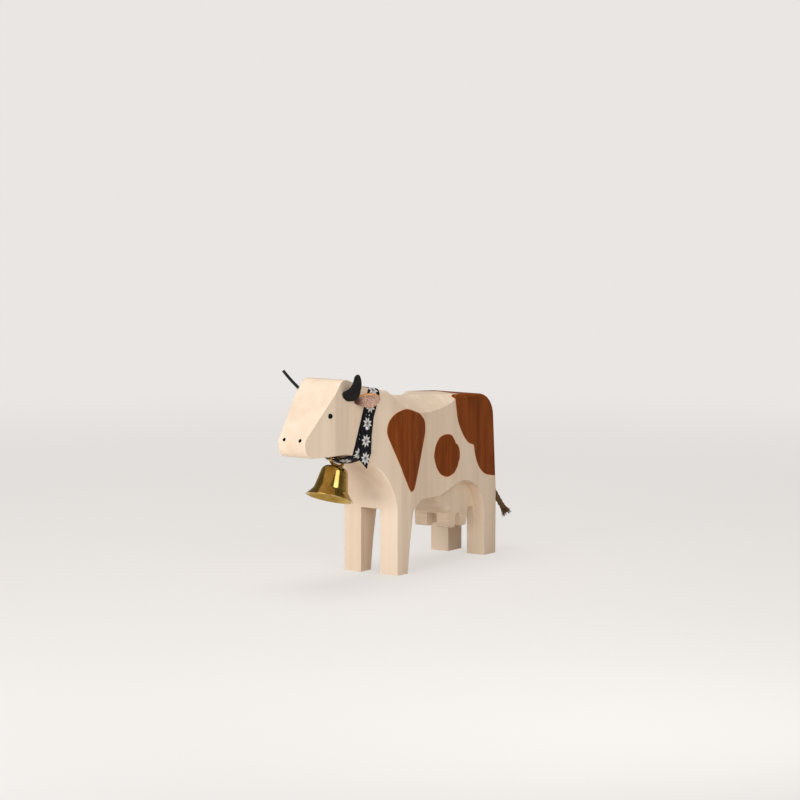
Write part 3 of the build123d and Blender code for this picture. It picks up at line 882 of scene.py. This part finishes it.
def tail_line():
    """Points on the smooth line of the tail."""
    curve = bpy.data.curves.new("tail_line", "CURVE")
    curve.dimensions = "3D"
    spline = curve.splines.new("NURBS")
    spline.points.add(len(tail_route) - 1)
    for point, place in zip(spline.points, tail_route):
        point.co = (*place, 1.0)
    spline.order_u = 3
    spline.use_endpoint_u = True
    spline.resolution_u = 14
    holder = bpy.data.objects.new("tail_line", curve)
    mesh = bpy.data.meshes.new_from_object(holder)
    points = [vert.co.copy() for vert in mesh.vertices]
    bpy.data.objects.remove(holder)
    return points


def tail_strands(line):
    """The three strands, laid round the line."""
    shape = bmesh.new()
    layer = shape.loops.layers.uv.new("twist")
    for strand in range(3):
        points = []
        for length, (point, _, side, top) in zip(travelled(line), carried(line)):
            turn = 2 * math.pi * (length / twist_pitch + strand / 3)
            points.append(point + (side * math.cos(turn) + top * math.sin(turn)) * strand_reach)
        tube(shape, points, lambda share: strand_radius, 12, layer)
    bmesh.ops.recalc_face_normals(shape, faces=shape.faces)
    return shape


def tail_tuft(line):
    """The frayed end: each strand opened into loose fibres."""
    shape = bmesh.new()
    layer = shape.loops.layers.uv.new("twist")
    point, run, side, top = carried(line)[-1]
    for fibre in range(tuft_fibres):
        turn = 2 * math.pi * (fibre % 3) / 3 + shades.gauss(0, 0.42)
        spread = shades.uniform(0.15, 1.0)
        out = side * math.cos(turn) + top * math.sin(turn)
        length = shades.uniform(3.0, 5.0)
        start = point - run * 1.6 + out * shades.uniform(0.2, 1.6)
        curl = (side * shades.gauss(0, 1) + top * shades.gauss(0, 1)) * 0.35
        middle = start + run * (1.6 + length * 0.35) + out * spread * 0.5 + curl * 0.3
        end = point + run * length + out * (1.1 + spread * 2.7) + curl
        path = interpolate_bezier(start, middle, middle.lerp(end, 0.5), end, 7)
        width = shades.uniform(0.16, 0.30)
        tube(shape, path, lambda share: width * (1 - 0.65 * share), 5, layer)
    bmesh.ops.recalc_face_normals(shape, faces=shape.faces)
    return shape


# Camera, as in the photo, in metres

camera_turn = math.radians(34.38)
camera_rise = math.radians(6.12)
camera_distance = 1.7833
camera_left = 0.00942
camera_up = 0.09974
looked_at = Vector((0.0323, 0, 0))
sensor_width = 36.0
picture_pixels = 800
focal_pixels = 2900


def camera():
    """The camera of the photo."""
    level = Vector((-math.cos(camera_turn), -math.sin(camera_turn), 0))
    back = level * math.cos(camera_rise) + Vector((0, 0, math.sin(camera_rise)))
    right = Vector((math.sin(camera_turn), -math.cos(camera_turn), 0))
    up = back.cross(right)
    data = bpy.data.cameras.new("camera")
    data.sensor_width = sensor_width
    data.sensor_fit = "HORIZONTAL"
    data.lens = sensor_width * focal_pixels / picture_pixels
    data.clip_start = 0.05
    obj = added("camera", data)
    eye = looked_at + back * camera_distance - right * camera_left + up * camera_up
    obj.matrix_world = Matrix.Translation(eye) @ Matrix((right, up, back)).transposed().to_4x4()
    bpy.context.scene.camera = obj


camera()


# The assembly

hemp = twisted_cord()
line = tail_line()
tail = piece("tail_strands", tail_strands(line), [hemp], "tail_cord", "root", "tail_rope")
tuft = piece("tail_tuft", tail_tuft(line), [hemp], "tail_cord", "root")
tail_length = travelled(line)[-1] * mm

strip, strip_length = ribbon_shape()
ribbon = piece("woven_collar", strip, [woven_ribbon()], "woven_ribbon", "root", "collar_ribbon")
thicken(ribbon, ribbon_thickness)
strip_length * mm

dress("body", lime_wood())
enamel = pin_black()
leather = black_leather()
ear_skins = [
    ear_suede(),
    tan_leather("ear_edge", colour(190, 128, 62), colour(212, 150, 84)),
    tan_leather("ear_grain", colour(184, 120, 62), colour(208, 144, 86)),
]
for side in ("left", "right"):
    dress("eye_" + side, enamel)
    horn = horn_shape()
    ear = ear_shape()
    if side == "right":
        right_hand(horn)
        right_hand(ear)
    horn = piece("horn_leather_" + side, horn, [leather], "horn_leather", "root", "horn_" + side)
    thicken(horn, horn_thickness)
    soften(horn, 0.42)
    ear = piece("ear_leather_" + side, ear, ear_skins, "ear_leather", "root", "ear_" + side)
    thicken(ear, ear_thickness, offset=-1.0, rim=1, back=2)
    soften(ear, 0.22, 2)

brass = metal("polished_brass", (200, 168, 92), (166, 134, 64), (216, 188, 120), 0.09, 0.15)
dull_brass = metal("satin_brass", (182, 146, 76), (144, 112, 52), (206, 172, 104), 0.20, 0.30)
steel = metal("polished_steel", (206, 206, 208), (170, 170, 174), (232, 232, 234), 0.10, 0.2)
piece("bell_brass", bell_shape(), [brass], "bell_brass", "bell", "bell")
for name in ("bell_loop", "clapper_staple", "clapper"):
    dress(name, dull_brass)
dress("collar_nail", steel)


# Stage and lights

backdrop_colour = colour(234, 230, 227)


def stage():
    """A pale sheet of paper that keeps the object's shadow and fades into the backdrop."""
    material, nodes = tree_of("pale_paper")
    place = nodes.place()
    x, y = nodes.axes(place)[:2]
    seen = nodes.rays("Camera", "Glossy", "Transmission")
    tint = nodes.noise(place, 3.0, 2.0)
    base = nodes.mix(tint, colour(232, 229, 224), colour(237, 234, 229))
    glow = nodes.mix(seen, colour(0, 0, 0), colour(84, 82, 78))
    inputs = {"Base Color": base, "Roughness": 0.7, "Specular IOR Level": 0.1}
    glowing = {"Emission Color": glow, "Emission Strength": 1.0}
    paper = nodes.add("ShaderNodeBsdfPrincipled", {**inputs, **glowing})
    backdrop = nodes.add("ShaderNodeEmission", {"Color": backdrop_colour, "Strength": 1.0})
    distance = (x * x + y * y).math("SQRT")
    shown = nodes.add("ShaderNodeMixShader", [distance.step(0.28, 1.1, 0.66, 1.0) * seen, paper, backdrop])
    nodes.add_output(shown)
    shape = bmesh.new()
    bmesh.ops.create_grid(shape, x_segments=1, y_segments=1, size=4.0)
    mesh = bpy.data.meshes.new("floor")
    shape.to_mesh(mesh)
    shape.free()
    floor = added("floor", mesh)
    mesh.materials.append(material)


def world():
    """A soft sky for the wood, the backdrop for the camera, and a room with bright panes for the metal."""
    scene_world = bpy.data.worlds.new("studio")
    bpy.context.scene.world = scene_world
    scene_world.use_nodes = True
    tree = scene_world.node_tree
    tree.nodes.clear()
    nodes = Nodes(tree)
    place = nodes.add("ShaderNodeTexCoord", output="Generated")
    x, y, z = nodes.axes(place)
    sky = nodes.mix(z.step(-0.1, 0.9), colour(222, 217, 212), colour(205, 206, 209))
    sky = nodes.mix(x.step(-0.1, 0.7) * z.step(0.9, 0.5), sky, colour(152, 128, 106))
    ambient = nodes.add("ShaderNodeBackground", {"Color": sky, "Strength": 0.50})
    backdrop = nodes.add("ShaderNodeBackground", {"Color": backdrop_colour, "Strength": 1.0})
    across = y.math("ARCTAN2", x)
    near_pane = (across + 1.75).absolute().step(0.34, 0.22) * z.step(0.02, 0.12) * z.step(0.86, 0.70)
    far_pane = (across.absolute() - 2.95).absolute().step(0.30, 0.20)
    far_pane = far_pane * z.step(0.25, 0.35) * z.step(0.95, 0.85)
    panes = near_pane.most(far_pane)
    wall = nodes.mix(z.step(-0.25, 0.55), colour(214, 208, 198), colour(120, 114, 96))
    room = nodes.mix(panes, wall, colour(232, 240, 255))
    reflected = nodes.add("ShaderNodeBackground", {"Color": room, "Strength": panes * 2.6 + 0.8})
    shown = nodes.add("ShaderNodeMixShader", [nodes.rays("Camera", "Transmission"), ambient, backdrop])
    shown = nodes.add("ShaderNodeMixShader", [nodes.rays("Glossy"), shown, reflected])
    output = tree.nodes.new("ShaderNodeOutputWorld")
    tree.links.new(shown.socket, output.inputs["Surface"])


def lamp(name, place, target, size, power, tint=(1, 1, 1)):
    """A window or soft lamp at a place, turned to a target, in metres and watts."""
    data = bpy.data.lights.new(name, "AREA")
    data.shape = "RECTANGLE"
    data.size, data.size_y = size
    data.energy = power
    data.color = tint
    obj = added(name, data)
    obj.location = place
    obj.rotation_euler = (Vector(target) - Vector(place)).to_track_quat("-Z", "Y").to_euler()


stage()
world()
lamp("front_window", (-0.80, 0.05, 0.17), (-0.05, 0, 0.07), (0.46, 0.32), 3.05, (0.98, 0.985, 1.0))
lamp("side_window", (-0.34, -0.42, 0.28), (-0.04, 0, 0.07), (0.26, 0.32), 1.0)
lamp("overhead", (0.02, 0.12, 1.0), (0, 0, 0.06), (0.6, 0.6), 4.7)
bpy.context.scene.view_settings.view_transform = "Standard"
